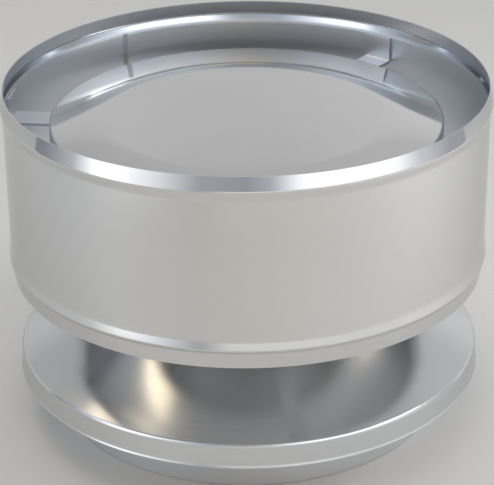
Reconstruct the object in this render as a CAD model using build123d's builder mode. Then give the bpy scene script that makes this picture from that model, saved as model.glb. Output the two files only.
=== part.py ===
from build123d import *
from math import cos, radians, sqrt, tan
import os

os.makedirs("parts", exist_ok=True)

# Anti-downdraught cowl for a twin-wall flue: an open drum and a flat deflector disc are held by three
# folded straps above a conical skirt, which stands on a collar that slips over the flue's outer casing.
# All sizes in millimetres. The origin is the centre of the collar's lower edge, with +Z up.

# Sheet
sheet = 0.6                   # wall of every rolled or spun piece
weld_gap = 0.05               # left between pieces that are welded together

# Flue that the cowl fits
casing_radius = 100.0         # outside of the flue's outer casing
casing_clearance = 0.8        # radial room for the casing in the collar
liner_radius = 75.0           # bore of the flue's inner liner
liner_clearance = 0.5         # radial room for the skirt's neck in the liner

# Skirt
skirt_slope = 28.0            # degrees below level
skirt_radius = 122.2          # where the cone turns down into its lip
skirt_height = 35.7           # height of that corner
lip_drop = 12.5
lip_spread = 1.2              # how far the lip stands out over its drop
lip_return = 3.0              # stiffening edge turned in at the lip's foot
hem_rise = 1.5                # flared band along the lip's foot
hem_spread = 0.6              # part of the lip's spread that the flare takes
neck_depth = 14.0             # neck turned down round the flue's mouth
knuckle_bend = 1.2            # narrow flat in place of the corner, this far along both of its sides

# Drum
drum_radius = 125.0           # outside of the plain wall
drum_height = 100.0
drum_lift = 80.0              # height of its lower edge
rim_band = 7.7                # height of the band above the rim's crest
rim_edge_inset = 0.4          # rim's top edge, inside the wall's line
rim_swell = 1.2               # rim's crest, outside the wall's line
rim_step = 4.4                # height of the step from the crest back to the wall
bead_top = 15.0               # above the drum's lower edge
bead_crest = 9.8
bead_swell = 0.9
bead_foot = 8.2
foot_inset = 1.1              # drum's lower edge, inside the wall's line

# Weld seam of the drum
seam_angle = 123.0            # degrees from +X
seam_width = 3.0
seam_proud = 0.2
seam_bite = 0.3               # how deep the seam sits in the wall

# Deflector disc
disc_radius = 101.7
disc_drop = 20.0              # top of the disc, below the drum's upper edge
disc_rim = 18.0               # depth of its turned-down rim
disc_bend = 0.8               # narrow flat along the rim's fold
seat_drop = 5.5               # straps' upper face, below the disc's top
notch_clearance = 0.4         # on both sides of a strap, where the rim is notched over it

# Straps
strap_count = 3
strap_angle = 52.9            # first strap, degrees from +X
strap_width = 16.0
strap_thickness = 1.5
strap_bend = 1.5              # inside radius of its folds
strap_rise = 13.0             # upper leg, above the disc's seat
strap_foot = 1.5              # end of the lower leg, above the neck's lower edge

# Levels and radii that follow
drum_top = drum_lift + drum_height
disc_top = drum_top - disc_drop
strap_seat = disc_top - seat_drop
slope = tan(radians(skirt_slope))
skirt_depth = sheet / cos(radians(skirt_slope))
collar_radius = casing_radius + casing_clearance
neck_radius = liner_radius - liner_clearance - sheet
throat_top = skirt_height + slope * (skirt_radius - neck_radius)
neck_foot = throat_top - neck_depth


def collar_height(radius):
    """Height at which a ring of this radius meets the cone's lower face, less the weld's gap."""
    return skirt_height + slope * (skirt_radius - radius) - skirt_depth - weld_gap


def chord_depth(radius):
    """Distance from the axis to a strap's flat face whose two edges touch a wall of this radius."""
    return sqrt(radius**2 - (strap_width / 2) ** 2) - weld_gap


def bend(before, corner, after, length):
    """Ends of the narrow flat that takes the place of a sharp corner, this far along both of its sides."""
    corner = Vector(*corner)
    return [corner + (Vector(*side) - corner).normalized() * length for side in (before, after)]


# Collar: a rolled ring whose upper edge is cut to the slope of the cone that it is welded under
collar_outside = collar_radius + sheet
with BuildPart() as collar:
    with BuildSketch(Plane.XZ):
        with BuildLine():
            Polyline(
                (collar_radius, 0),
                (collar_outside, 0),
                (collar_outside, collar_height(collar_outside)),
                (collar_radius, collar_height(collar_radius)),
                close=True,
            )
        make_face()
    revolve(axis=Axis.Z)
collar.part.label = "collar"

# Skirt: one spun cone, with a neck that enters the flue's liner and a drip lip with a flared, turned-in foot
neck_end = (neck_radius, neck_foot)
throat = (neck_radius, throat_top)
knuckle = (skirt_radius, skirt_height)
lip_foot = (skirt_radius + lip_spread, skirt_height - lip_drop)
hem_top = (lip_foot[0] - hem_spread, lip_foot[1] + hem_rise)
lip_end = (lip_foot[0] - lip_return, lip_foot[1])
with BuildPart() as skirt:
    with BuildSketch(Plane.XZ):
        with BuildLine():
            Polyline(
                neck_end,
                throat,
                *bend(throat, knuckle, hem_top, knuckle_bend),
                hem_top,
                lip_foot,
                lip_end,
            )
            offset(amount=sheet, side=Side.RIGHT, kind=Kind.INTERSECTION)
        make_face()
    revolve(axis=Axis.Z)
skirt.part.label = "skirt"

# Drum: a rolled ring, open at both ends, with a swelled rim above, a bead below and one weld seam
seam_base = drum_lift + bead_top
seam_length = drum_height - bead_top - rim_band - rim_step
drum_bore = drum_radius - sheet
with BuildPart() as drum:
    with BuildSketch(Plane.XZ):
        with BuildLine():
            Polyline(
                (drum_radius - foot_inset, drum_lift),
                (drum_radius, drum_lift + bead_foot),
                (drum_radius + bead_swell, drum_lift + bead_crest),
                (drum_radius, drum_lift + bead_top),
                (drum_radius, drum_top - rim_band - rim_step),
                (drum_radius + rim_swell, drum_top - rim_band),
                (drum_radius - rim_edge_inset, drum_top),
            )
            offset(amount=sheet, side=Side.LEFT, kind=Kind.INTERSECTION)
        make_face()
    revolve(axis=Axis.Z)
    with BuildSketch(Plane.XY.offset(seam_base)):
        with PolarLocations(drum_bore + (seam_bite - seam_proud) / 2, 1, start_angle=seam_angle):
            Rectangle(seam_bite + seam_proud, seam_width)
    extrude(amount=seam_length)
drum.part.label = "drum"

# Deflector disc: a flat plate with a turned-down rim, which is notched to sit on the straps
rim_foot = (disc_radius, disc_top - disc_rim)
disc_edge = (disc_radius, disc_top)
disc_centre = (0, disc_top)
with BuildPart() as deflector_disc:
    with BuildSketch(Plane.XZ):
        with BuildLine():
            Polyline(rim_foot, *bend(rim_foot, disc_edge, disc_centre, disc_bend), disc_centre)
            offset(amount=sheet, side=Side.LEFT, kind=Kind.INTERSECTION)
        make_face()
    revolve(axis=Axis.Z)
    with BuildSketch(Plane.XY.offset(strap_seat)):
        with PolarLocations(disc_radius, strap_count, start_angle=strap_angle):
            Rectangle(strap_width, strap_width + 2 * notch_clearance)
    extrude(amount=seat_drop - disc_rim, mode=Mode.SUBTRACT)
deflector_disc.part.label = "deflector_disc"

# Straps: each a flat strip folded twice, from the neck's wall up, out under the disc and up the drum's wall
leg_face = chord_depth(neck_radius)
wall_face = chord_depth(drum_bore)
straps = []
for index in range(strap_count):
    turn = Plane.XZ.rotated((0, 0, strap_angle + index * 360 / strap_count))
    with BuildPart() as support_strap:
        with BuildSketch(turn):
            with BuildLine():
                FilletPolyline(
                    (leg_face, neck_foot + strap_foot),
                    (leg_face, strap_seat - strap_thickness),
                    (wall_face, strap_seat - strap_thickness),
                    (wall_face, strap_seat + strap_rise),
                    radius=[strap_bend, strap_bend + strap_thickness],
                )
                offset(amount=strap_thickness, side=Side.LEFT)
            make_face()
        extrude(amount=strap_width / 2, both=True)
    support_strap.part.label = f"support_strap_{index + 1}"
    straps.append(support_strap.part)

for piece in [collar.part, skirt.part, drum.part, deflector_disc.part] + straps:
    export_step(piece, f"parts/{piece.label}.step")
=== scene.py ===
import math

import bmesh
import bpy
from mathutils import Matrix, Vector


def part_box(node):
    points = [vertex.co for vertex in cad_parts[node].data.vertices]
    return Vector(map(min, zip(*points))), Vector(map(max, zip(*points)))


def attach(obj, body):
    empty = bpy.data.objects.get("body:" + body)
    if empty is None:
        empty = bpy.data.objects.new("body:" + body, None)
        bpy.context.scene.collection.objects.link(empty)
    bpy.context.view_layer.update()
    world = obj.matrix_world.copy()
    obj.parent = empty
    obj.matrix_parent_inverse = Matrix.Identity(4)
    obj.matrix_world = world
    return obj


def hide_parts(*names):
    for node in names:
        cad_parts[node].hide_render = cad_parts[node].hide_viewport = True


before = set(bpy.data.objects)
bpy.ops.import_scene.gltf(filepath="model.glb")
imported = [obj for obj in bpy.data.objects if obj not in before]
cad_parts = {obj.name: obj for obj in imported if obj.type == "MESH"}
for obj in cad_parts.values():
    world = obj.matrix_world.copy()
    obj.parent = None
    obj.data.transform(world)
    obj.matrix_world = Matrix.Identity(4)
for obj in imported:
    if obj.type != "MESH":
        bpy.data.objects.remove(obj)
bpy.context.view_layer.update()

# Anti-downdraught cowl in bright sheet steel: an open drum and a flat deflector disc on three folded straps,
# above a conical skirt and the collar that slips over the flue's casing.
# Lengths are metres, in the CAD frame.

MM = 0.001
AROUND = 256                            # steps of every spun piece

# Sheet and strip
sheet = 0.6 * MM
strip = 1.5 * MM
weld_gap = 0.05 * MM                    # left between pieces that are welded together
edge_ease = 0.12 * MM                   # deburred edges of the cut sheet
cut_angle = math.radians(60)            # a sharper edge is a cut one, and is deburred
shading_angle = math.radians(35)        # a sharper edge stays sharp in the shading
bend_segments = 6
ease_segments = 2

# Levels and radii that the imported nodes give
drum_low, drum_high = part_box("drum")
disc_low, disc_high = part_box("deflector_disc")
collar_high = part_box("collar")[1]
drum_top = drum_high.z
drum_foot = drum_low.z
disc_top = disc_high.z
disc_radius = disc_high.x
collar_radius = collar_high.x

# Drum's section, from its rim down
rim_band = 7.7 * MM                     # height of the band above the rim's crest
rim_edge_inset = 0.4 * MM
rim_swell = 1.2 * MM
rim_step = 4.4 * MM                     # height of the step from the crest back to the wall
rim_bend = 1.0 * MM
bead_top = 15.0 * MM                    # above the drum's foot, as the next two
bead_crest = 9.8 * MM
bead_foot = 8.2 * MM
bead_swell = 0.9 * MM
bead_bend = 1.2 * MM
foot_inset = 1.1 * MM
drum_radius = drum_high.x - rim_swell
rim_crest = drum_top - rim_band
rim_base = rim_crest - rim_step
wall_foot = drum_foot + bead_top

# Weld seam of the drum
seam_angle = math.radians(123.0)
seam_width = 3.0 * MM
seam_proud = 0.2 * MM
seam_bite = 0.3 * MM

# Skirt's section
skirt_slope = math.tan(math.radians(28.0))
skirt_radius = 122.2 * MM
skirt_height = 35.7 * MM
lip_drop = 12.5 * MM
lip_spread = 1.2 * MM
lip_return = 3.0 * MM
hem_rise = 1.5 * MM
hem_spread = 0.6 * MM
neck_radius = 73.9 * MM
neck_depth = 14.0 * MM
throat_bend = 4.0 * MM
knuckle_bend = 1.2 * MM
hem_bend = 0.5 * MM
throat_top = skirt_height + skirt_slope * (skirt_radius - neck_radius)
neck_foot = throat_top - neck_depth

# Disc
disc_bend = 1.2 * MM
seat_drop = 5.5 * MM
strap_seat = disc_top - seat_drop
notch_half = math.radians(5.6)          # half of a notch in the disc's rim, seen from the axis

# Straps
strap_angle = math.radians(52.9)
strap_count = 3
strap_pitch = 2 * math.pi / strap_count
strap_width = 16.0 * MM
strap_fold = 2.2 * MM
strap_rise = 13.0 * MM
strap_foot = 1.5 * MM

# Finish of the sheets
grain_fine = 900.0                      # grain across its run, per metre
grain_long = 6.0                        # grain along its run, per metre
spun_grain_fine = 700.0                 # grain across the rings of the spun skirt, per metre
rolled_grain_long = 2.0                 # grain round a rolled ring, per radian
spun_grain_long = 1.5                   # grain round the spun skirt, per radian
grain_height = 0.004 * MM
cloud_scale = 12.0                      # per metre
cloud_shade = 0.06
uneven_rough = 0.05                     # what grain and clouds add to the roughness
finish_fade = 1.0 * MM                  # over which one finish passes into the next
drum_wave_scale = 34.0
drum_wave_height = 0.16 * MM
disc_wave_scale = 22.0
disc_wave_height = 0.12 * MM
disc_draw = 4.6                         # long wave of the plate towards its sides, per square metre
sag_width = 31.0 * MM                   # border of the plate that seems to fall towards the edge
sag_slope = math.tan(math.radians(9.5))

# Camera, fitted to the rims in the photograph
camera_elevation = math.radians(25.657)
camera_distance = 1.03661
camera_aim = Vector((-0.0004, 0.0, 0.08708))
camera_roll = math.radians(-0.597)
camera_lens = 141.86
camera_sensor = 36.0

# Wall of light that the metal reflects: brightness over bearings, in degrees from the front to the right
light_radius = 0.54
light_height = 0.43
light_steps = 64
light_strength = 2.0
light_levels = [
    (-97, 0.27), (-91, 0.28), (-73, 0.6), (-63, 1.47), (-53, 1.54), (-39, 1.06), (-19, 0.43), (0, 0.37),
    (9, 0.52), (20, 1.28), (28, 1.5), (61, 1.4), (73, 0.76), (91, 0.45), (103, 0.44),
]
light_foot_top = 0.09                   # below this its right half is even, for the drum's bead
light_foot_level = 0.84
light_rise_start = 0.14                 # between this height and the next it brightens by light_rise
light_rise_end = 0.3
light_rise = 0.2

# Floor
floor_radius = 6.0
floor_level = -0.3 * MM


class Flow:
    """A socket in a node tree. Arithmetic on it adds Math nodes, and add() adds any other node."""

    def __init__(self, tree, socket=None):
        self.tree = tree
        self.socket = socket

    def add(self, kind, settings=None, sockets=None, output=0):
        node = self.tree.nodes.new(kind)
        for key, value in (settings or {}).items():
            if key == "stops":
                elements = node.color_ramp.elements
                while len(elements) < len(value):
                    elements.new(0.5)
                for stop, (position, colour) in zip(elements, value):
                    stop.position = position
                    stop.color = colour
            else:
                setattr(node, key, value)
        for key, value in (sockets or {}).items():
            if isinstance(value, Flow):
                self.tree.links.new(value.socket, node.inputs[key])
            else:
                node.inputs[key].default_value = value
        return Flow(self.tree, node.outputs[output])

    def math(self, operation, first, second=0.0):
        return self.add("ShaderNodeMath", {"operation": operation}, {0: first, 1: second})

    def __add__(self, other):
        return self.math("ADD", self, other)

    def __radd__(self, other):
        return self.math("ADD", other, self)

    def __sub__(self, other):
        return self.math("SUBTRACT", self, other)

    def __rsub__(self, other):
        return self.math("SUBTRACT", other, self)

    def __mul__(self, other):
        return self.math("MULTIPLY", self, other)

    def __rmul__(self, other):
        return self.math("MULTIPLY", other, self)

    def __truediv__(self, other):
        return self.math("DIVIDE", self, other)


def split(vector):
    """X, Y and Z of a vector."""
    node = vector.add("ShaderNodeSeparateXYZ", None, {"Vector": vector}).socket.node
    return [Flow(vector.tree, node.outputs[axis]) for axis in "XYZ"]


def join(x, y, z):
    """A vector of three values, the last of which varies."""
    return z.add("ShaderNodeCombineXYZ", None, {"X": x, "Y": y, "Z": z})


def axis_distance(x, y):
    """Distance from the cowl's axis."""
    return x.math("SQRT", x * x + y * y)


def axis_turn(x, y):
    """Bearing from the cowl's axis, in radians from +X."""
    return x.math("ARCTAN2", y, x)


def smooth_step(value, low, high):
    """0 at low and beyond, 1 at high and beyond, eased between them."""
    return value.add(
        "ShaderNodeMapRange",
        {"interpolation_type": "SMOOTHSTEP"},
        {"Value": value, "From Min": low, "From Max": high},
    )


def ramp(value, low, high):
    """0 at low and beyond, 1 at high and beyond, straight between them."""
    return value.add("ShaderNodeMapRange", None, {"Value": value, "From Min": low, "From Max": high})


def noise(vector, scale, detail):
    """Noise between 0 and 1 at a place."""
    return vector.add("ShaderNodeTexNoise", None, {"Vector": vector, "Scale": scale, "Detail": detail})


def scale_colour(colour, factor):
    """A colour, brighter or darker by a factor."""
    return factor.add("ShaderNodeVectorMath", {"operation": "SCALE"}, {0: colour, "Scale": factor})


def mix_colours(factor, first, second):
    """The first colour where the factor is 0, the second where it is 1."""
    # A Mix node's sockets for colours share their names with other kinds, so they go by number.
    return factor.add(
        "ShaderNodeMix", {"data_type": "RGBA"}, {"Factor": factor, 6: first, 7: second}, output=2,
    )


def feed(shader, name, value):
    """Links a value to a socket of a shader."""
    value.tree.links.new(value.socket, shader.inputs[name])


def grey(level):
    return (level, level, level, 1.0)


def warm(level):
    """A grey with some yellow in it."""
    return (level * 1.05, level, level * 0.85, 1.0)


def cool(level):
    """A grey that turns bluer as it darkens."""
    return (level * (0.94 + 0.06 * level), level, level * (1.1 - 0.1 * level), 1.0)


# Steel finishes

def new_material(name):
    """A new material and its shader."""
    material = bpy.data.materials.new(name)
    material.use_nodes = True
    return material, material.node_tree.nodes["Principled BSDF"]


def new_steel(name):
    """A steel without its finish, its shader, a point on the piece and that point's X, Y and Z."""
    material, shader = new_material(name)
    shader.inputs["Metallic"].default_value = 1.0
    shader.inputs["Specular Tint"].default_value = grey(0.85)
    place = Flow(material.node_tree).add("ShaderNodeTexCoord", output="Object")
    return material, shader, place, *split(place)


def finish_steel(shader, place, along, colour, roughness, height=0.0):
    """Base colour, roughness and bump of one sheet: clouds at a place, and fine grain along the sheet."""
    cloud = noise(place, cloud_scale, 2.0) - 0.5
    grain = noise(along, 1.0, 4.0) - 0.5
    relief = grain * grain_height + height
    bump = relief.add("ShaderNodeBump", None, {"Strength": 1.0, "Distance": 1.0, "Height": relief})
    feed(shader, "Base Color", scale_colour(colour, cloud * cloud_shade + 1.0))
    feed(shader, "Roughness", roughness + (cloud + grain) * uneven_rough)
    feed(shader, "Normal", bump)


def rolled_grain(x, y, z):
    """Grain that runs round a rolled ring."""
    return join(axis_turn(x, y) * rolled_grain_long, 0.0, z * grain_fine)


def make_collar_steel():
    """Plain rolled sheet, duller than the rest."""
    material, shader, place, x, y, z = new_steel("collar_steel")
    finish_steel(shader, place, rolled_grain(x, y, z), colour=(0.68, 0.69, 0.71), roughness=0.5)
    return material


def make_drum_steel():
    """Rolled sheet: satin outside, duller inside with a painted bluish reflection in its colour there, and
    brighter on its formed rim and bead.
    """
    material, shader, place, x, y, z = new_steel("drum_steel")
    above_step = ramp(z, rim_base, rim_crest)
    above_crest = ramp(z, rim_crest, drum_top)
    outer_face = drum_radius + above_step * rim_swell - above_crest * (rim_swell + rim_edge_inset)
    depth = outer_face - axis_distance(x, y)
    inside = smooth_step(depth, sheet / 3, 2 * sheet / 3) * smooth_step(z, wall_foot, wall_foot + finish_fade)
    seam = inside * smooth_step(depth, sheet + 0.3 * seam_proud, sheet + 0.7 * seam_proud)
    rim = smooth_step(z, rim_base, rim_base + rim_step / 2)
    step = rim - smooth_step(z, rim_crest, rim_crest + finish_fade)
    bead = smooth_step(z, wall_foot, wall_foot - finish_fade)
    above_disc = smooth_step(z, strap_seat, disc_top)
    outer_rough = 0.15 - rim * 0.09 - bead * 0.03
    inner_rough = 0.3 + above_disc * 0.1 - rim * 0.07 - step * 0.24 + seam * 0.1
    roughness = outer_rough + inside * (inner_rough - outer_rough)
    # Inside, the colour turns bluer: a painted bluish reflection, not the steel's own tone.
    steel_and_painted_reflection = mix_colours(inside, grey(0.70), (0.68, 0.715, 0.775, 1.0))
    colour = mix_colours(seam, steel_and_painted_reflection, (0.45, 0.46, 0.48, 1.0))
    waves = noise(place, drum_wave_scale, 1.0) * drum_wave_height
    finish_steel(shader, place, rolled_grain(x, y, z), colour, roughness, waves)
    return material


def make_skirt_steel():
    """Sheet spun on a lathe, with its grain in rings round the axis."""
    material, shader, place, x, y, z = new_steel("skirt_steel")
    across = axis_distance(x, y) * spun_grain_fine
    along = join(axis_turn(x, y) * spun_grain_long, across, z * spun_grain_fine)
    finish_steel(shader, place, along, colour=(0.67, 0.68, 0.69), roughness=0.19)
    return material


def make_disc_steel():
    """Flat sheet, drawn a little towards its sides, falling towards its edge, and dull underneath."""
    material, shader, place, x, y, z = new_steel("disc_steel")
    along = join(x * grain_fine, y * grain_long, z * grain_fine)
    plate_middle = disc_top - sheet / 2
    under = smooth_step(z, plate_middle, plate_middle - sheet / 6)
    border = ramp(axis_distance(x, y), disc_radius - sag_width, disc_radius)
    fall = border * border * (1 - border / 3) * (sag_width * sag_slope)
    waves = noise(place, disc_wave_scale, 1.0) * disc_wave_height
    height = y * x * x * -disc_draw + waves - fall
    roughness = 0.07 + under * 0.4
    finish_steel(shader, place, along, (0.72, 0.72, 0.72), roughness, height)
    return material


def make_strap_steel():
    """Strip with its grain upright, coloured with a painted bluish reflection above the disc and painted
    shade below it.
    """
    material, shader, place, x, y, z = new_steel("strap_steel")
    along = join(x * grain_fine, y * grain_fine, z * grain_long)
    # Painted shade darkens the strip below the disc; above it the bluer grey is a painted reflection.
    below = smooth_step(z, strap_seat - strip / 5, strap_seat - 4 * strip / 5)
    colour = mix_colours(below, (0.72, 0.74, 0.78, 1.0), (0.58, 0.59, 0.62, 1.0))
    roughness = 0.34 + below * 0.02
    finish_steel(shader, place, along, colour, roughness)
    return material


drum_steel = make_drum_steel()
collar_steel = make_collar_steel()
skirt_steel = make_skirt_steel()
disc_steel = make_disc_steel()
strap_steel = make_strap_steel()


# Sheet pieces

def add_object(bm, name, material):
    """Turns a finished mesh into an object of the scene."""
    mesh = bpy.data.meshes.new(name)
    bm.to_mesh(mesh)
    bm.free()
    mesh.materials.append(material)
    made = bpy.data.objects.new(name, mesh)
    bpy.context.scene.collection.objects.link(made)
    return made


def add_piece(bm, name, node, material):
    """Makes a piece of a mesh, in place of its CAD node."""
    for edge in bm.edges:
        edge.smooth = edge.calc_face_angle(0.0) < shading_angle
    for face in bm.faces:
        face.smooth = True
    piece = add_object(bm, name, material)
    even = piece.modifiers.new("even_shading", "WEIGHTED_NORMAL")
    even.keep_sharp = True
    even.weight = 100
    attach(piece, "root")
    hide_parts(node)


def ring_edges(bm, radius, height):
    """Edges that run round the axis at one radius and height."""
    near = 1e-6
    return [
        edge for edge in bm.edges
        if all(abs(v.co.xy.length - radius) < near and abs(v.co.z - height) < near for v in edge.verts)
    ]


def bend(bm, edges, size, segments):
    """Rounds edges, this far along the faces on both of their sides."""
    bmesh.ops.bevel(
        bm, geom=edges, offset=size, offset_type="OFFSET", segments=segments, profile=0.5,
        affect="EDGES", material=-1, clamp_overlap=True,
    )


def add_line(bm, points):
    """A line of vertices and the edges between them."""
    verts = [bm.verts.new(point) for point in points]
    return verts, [bm.edges.new(pair) for pair in zip(verts, verts[1:])]


def spin_sheet(section, bends):
    """A sheet without thickness, spun from one line of (radius, height) points and bent at its corners."""
    bm = bmesh.new()
    verts, edges = add_line(bm, [(radius, 0, height) for radius, height in section])
    bmesh.ops.spin(
        bm, geom=verts + edges, cent=(0, 0, 0), axis=(0, 0, 1), angle=2 * math.pi, steps=AROUND,
        use_merge=True,
    )
    bmesh.ops.remove_doubles(bm, verts=bm.verts, dist=1e-7)
    bmesh.ops.recalc_face_normals(bm, faces=bm.faces)
    for (radius, height), size in bends:
        bend(bm, ring_edges(bm, radius, height), size, bend_segments)
    return bm


def thicken(bm, thickness):
    """Gives a sheet its wall and deburrs its cut edges."""
    bmesh.ops.solidify(bm, geom=bm.faces[:], thickness=thickness)
    cut = [edge for edge in bm.edges if edge.calc_face_angle(0.0) > cut_angle]
    bend(bm, cut, edge_ease, ease_segments)


def add_seam(bm):
    """The drum's weld, a strip on its inner wall between the bead and the rim."""
    middle = drum_radius - sheet + (seam_bite - seam_proud) / 2
    strip_place = (
        Matrix.Rotation(seam_angle, 4, "Z")
        @ Matrix.Translation((middle, 0, (wall_foot + rim_base) / 2))
        @ Matrix.Diagonal((seam_bite + seam_proud, seam_width, rim_base - wall_foot, 1))
    )
    made = bmesh.ops.create_cube(bm, size=1.0, matrix=strip_place)
    edges = {edge for vert in made["verts"] for edge in vert.link_edges}
    bend(bm, list(edges), edge_ease, ease_segments)


def make_drum():
    """An open ring with a swelled rim above, and a bead and a drawn-in foot below."""
    swell = (drum_radius + rim_swell, rim_crest)
    step_foot = (drum_radius, rim_base)
    bead_start = (drum_radius, wall_foot)
    bead_ridge = (drum_radius + bead_swell, drum_foot + bead_crest)
    bead_end = (drum_radius, drum_foot + bead_foot)
    bm = spin_sheet(
        [
            (drum_radius - rim_edge_inset, drum_top), swell, step_foot, bead_start, bead_ridge, bead_end,
            (drum_radius - foot_inset, drum_foot),
        ],
        [
            (swell, rim_bend), (step_foot, rim_bend), (bead_start, bead_bend), (bead_ridge, bead_bend / 2),
            (bead_end, bead_bend / 3),
        ],
    )
    thicken(bm, sheet)
    add_seam(bm)
    add_piece(bm, "drum_shell", "drum", drum_steel)


def in_notch(point):
    """Whether a point of the disc's rim lies where the rim is cut out over a strap."""
    turn = (math.atan2(point.y, point.x) - strap_angle) % strap_pitch
    return point.z < strap_seat and min(turn, strap_pitch - turn) < notch_half


def make_disc():
    """A flat plate with a turned-down rim, which is notched over the straps."""
    edge = (disc_radius, disc_top)
    bm = spin_sheet(
        [(0, disc_top), edge, (disc_radius, strap_seat), (disc_radius, disc_low.z)],
        [(edge, disc_bend)],
    )
    notches = [face for face in bm.faces if in_notch(face.calc_center_median())]
    bmesh.ops.delete(bm, geom=notches, context="FACES")
    thicken(bm, sheet)
    add_piece(bm, "disc_plate", "deflector_disc", disc_steel)


def make_skirt():
    """A cone with a neck round the flue's mouth and a drip lip with a flared, turned-in foot."""
    throat = (neck_radius, throat_top)
    knuckle = (skirt_radius, skirt_height)
    lip_radius = skirt_radius + lip_spread
    lip_low = skirt_height - lip_drop
    lip_foot = (lip_radius, lip_low)
    hem_top = (lip_radius - hem_spread, lip_low + hem_rise)
    bm = spin_sheet(
        [(neck_radius, neck_foot), throat, knuckle, hem_top, lip_foot, (lip_radius - lip_return, lip_low)],
        [(throat, throat_bend), (knuckle, knuckle_bend), (hem_top, hem_bend), (lip_foot, hem_bend)],
    )
    thicken(bm, sheet)
    add_piece(bm, "skirt_cone", "skirt", skirt_steel)


def make_collar():
    """A plain ring under the cone."""
    bm = spin_sheet([(collar_radius, collar_high.z - sheet), (collar_radius, 0)], [])
    thicken(bm, sheet)
    add_piece(bm, "collar_ring", "collar", collar_steel)


def chord_depth(radius):
    """Distance from the axis to a strap's face whose two edges touch a wall of this radius."""
    return math.sqrt(radius**2 - (strap_width / 2) ** 2) - weld_gap


def make_strap(number):
    """A strip folded twice, from the neck's wall up, out under the disc and up the drum's wall."""
    leg = chord_depth(neck_radius)
    wall = chord_depth(drum_radius - sheet)
    low_face = strap_seat - strip
    section = [
        (leg, neck_foot + strap_foot), (leg, low_face), (wall, low_face), (wall, strap_seat + strap_rise),
    ]
    bm = bmesh.new()
    edges = add_line(bm, [(distance, -strap_width / 2, height) for distance, height in section])[1]
    made = bmesh.ops.extrude_edge_only(bm, edges=edges)
    side = [item for item in made["geom"] if isinstance(item, bmesh.types.BMVert)]
    bmesh.ops.translate(bm, verts=side, vec=(0, strap_width, 0))
    bmesh.ops.recalc_face_normals(bm, faces=bm.faces)
    folds = [edge for edge in bm.edges if len(edge.link_faces) == 2]
    bend(bm, folds, strap_fold, bend_segments)
    thicken(bm, strip)
    turn = Matrix.Rotation(strap_angle + strap_pitch * number, 4, "Z")
    bmesh.ops.transform(bm, matrix=turn, verts=bm.verts)
    node = f"support_strap_{number + 1}"
    add_piece(bm, f"strap_{number + 1}", node, strap_steel)


make_drum()
make_disc()
make_skirt()
make_collar()
for strap_number in range(strap_count):
    make_strap(strap_number)


# Floor, light and camera

def make_floor():
    """A plain pale floor that takes the cowl's shadow."""
    material, shader = new_material("studio_floor")
    shader.inputs["Base Color"].default_value = (0.83, 0.845, 0.875, 1.0)
    shader.inputs["Roughness"].default_value = 0.7
    bm = bmesh.new()
    bmesh.ops.create_circle(bm, cap_ends=True, segments=96, radius=floor_radius)
    floor = add_object(bm, "floor", material)
    floor.location.z = floor_level


def add_panel(name, place, aim, width, height, radiance, colour):
    """A flat soft light of even brightness, hidden from the camera itself."""
    light = bpy.data.lights.new(name, "AREA")
    light.shape = "RECTANGLE"
    light.size = width
    light.size_y = height
    light.energy = radiance * math.pi * width * height
    light.color = colour
    panel = bpy.data.objects.new(name, light)
    panel.location = place
    panel.rotation_euler = (Vector(aim) - Vector(place)).to_track_quat("-Z", "Y").to_euler()
    panel.visible_camera = False
    bpy.context.scene.collection.objects.link(panel)


def make_light_wall():
    """A low curved wall of light round the front that only the metal shows, hidden from camera and floor."""
    material, shader = new_material("light_wall")
    shader.inputs["Base Color"].default_value = grey(0.0)
    shader.inputs["Emission Strength"].default_value = light_strength
    flow = Flow(material.node_tree)
    x, y, z = split(flow.add("ShaderNodeTexCoord", output="Object"))
    # The bearing is 0.5 at the front and grows to the right.
    bearing = flow.math("FRACT", axis_turn(x, y) / (2 * math.pi) + 0.75)
    stops = [((degrees + 180) / 360, cool(level / light_strength)) for degrees, level in light_levels]
    round_front = flow.add("ShaderNodeValToRGB", {"stops": stops}, {"Fac": bearing})
    right_half = smooth_step(x, -0.2, -0.05) * smooth_step(y, 0.0, -0.2)
    right_foot = right_half * smooth_step(z, light_rise_start, light_foot_top)
    glow = mix_colours(right_foot, round_front, grey(light_foot_level / light_strength))
    rise = ramp(z, light_rise_start, light_rise_end) * light_rise + 1.0
    feed(shader, "Emission Color", scale_colour(glow, rise))
    start = math.radians(light_levels[0][0])
    sweep = math.radians(light_levels[-1][0]) - start
    bm = bmesh.new()
    verts, edges = add_line(bm, [(0, -light_radius, 0), (0, -light_radius, light_height)])
    bmesh.ops.rotate(bm, verts=verts, cent=(0, 0, 0), matrix=Matrix.Rotation(start, 3, "Z"))
    bmesh.ops.spin(
        bm, geom=verts + edges, cent=(0, 0, 0), axis=(0, 0, 1), angle=sweep, steps=light_steps,
    )
    wall = add_object(bm, "light_wall", material)
    wall.visible_camera = False
    wall.visible_diffuse = False
    wall.visible_shadow = False


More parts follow.
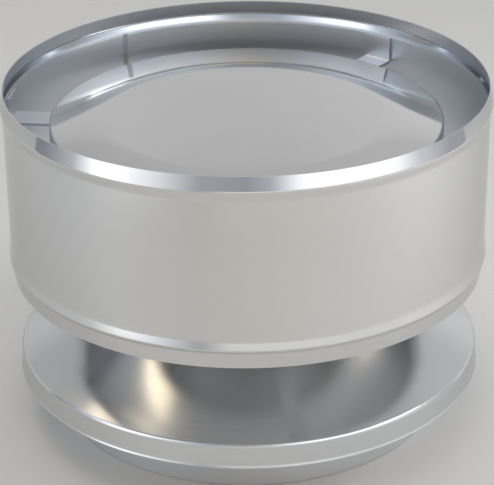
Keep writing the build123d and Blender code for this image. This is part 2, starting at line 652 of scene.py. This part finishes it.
def make_world():
    """A dim studio: dark and warm low in front, grey above that, paler behind and darker overhead."""
    world = bpy.data.worlds.new("studio")
    bpy.context.scene.world = world
    world.use_nodes = True
    flow = Flow(world.node_tree)
    x, y, z = split(flow.add("ShaderNodeTexCoord", output="Generated"))
    # The stops go from 0 at the horizon to 1 overhead.
    front_stops = [
        (0.0, warm(0.1)), (0.2, warm(0.18)), (0.37, grey(0.52)), (0.46, grey(0.56)), (0.6, grey(0.46)),
        (1.0, grey(0.3)),
    ]
    back_stops = [
        (0.0, grey(0.7)), (0.22, grey(0.76)), (0.35, grey(0.65)), (0.373, grey(0.625)), (0.41, grey(0.565)),
        (0.67, grey(0.53)), (0.875, grey(0.39)), (1.0, grey(0.31)),
    ]
    front = flow.add("ShaderNodeValToRGB", {"stops": front_stops}, {"Fac": z})
    back = flow.add("ShaderNodeValToRGB", {"stops": back_stops}, {"Fac": z})
    background = flow.tree.nodes["Background"]
    feed(background, "Color", mix_colours(smooth_step(y, -0.2, 0.4), front, back))
    feed(background, "Strength", 0.92 + smooth_step(x, -0.3, 0.3) * 0.2)


def make_camera():
    """The camera at the photograph's viewing angle, turned by its small roll."""
    forward = Vector((0, math.cos(camera_elevation), -math.sin(camera_elevation)))
    level_right = Vector((1, 0, 0))
    level_up = level_right.cross(forward)
    right = level_right * math.cos(camera_roll) + level_up * math.sin(camera_roll)
    up = level_up * math.cos(camera_roll) - level_right * math.sin(camera_roll)
    turn = Matrix((right, up, -forward)).transposed().to_4x4()
    turn.translation = camera_aim - forward * camera_distance
    data = bpy.data.cameras.new("camera")
    data.lens = camera_lens
    data.sensor_width = camera_sensor
    camera = bpy.data.objects.new("camera", data)
    camera.matrix_world = turn
    bpy.context.scene.collection.objects.link(camera)
    bpy.context.scene.camera = camera


make_floor()
make_light_wall()
add_panel(
    "right_key", place=(0.85, -0.1, 0.55), aim=(0.4, -0.1, 0.0), width=0.4, height=0.4, radiance=6.0,
    colour=(1.0, 0.985, 0.95),
)
add_panel(
    "left_key", place=(-0.85, -0.1, 0.55), aim=(-0.4, -0.1, 0.0), width=0.4, height=0.4, radiance=2.2,
    colour=(0.78, 0.9, 1.0),
)
add_panel(
    "front_lamp", place=(0.05, -0.85, 0.55), aim=(0, -0.35, 0.0), width=0.4, height=0.25, radiance=2.1,
    colour=(1.0, 0.64, 0.04),
)
add_panel(
    "warm_lamp", place=(-0.55, 0.45, 1.28), aim=(0, 0, 0.08), width=0.5, height=0.5, radiance=2.85,
    colour=(1.0, 0.83, 0.57),
)
make_world()
make_camera()
bpy.context.scene.view_settings.view_transform = "Standard"
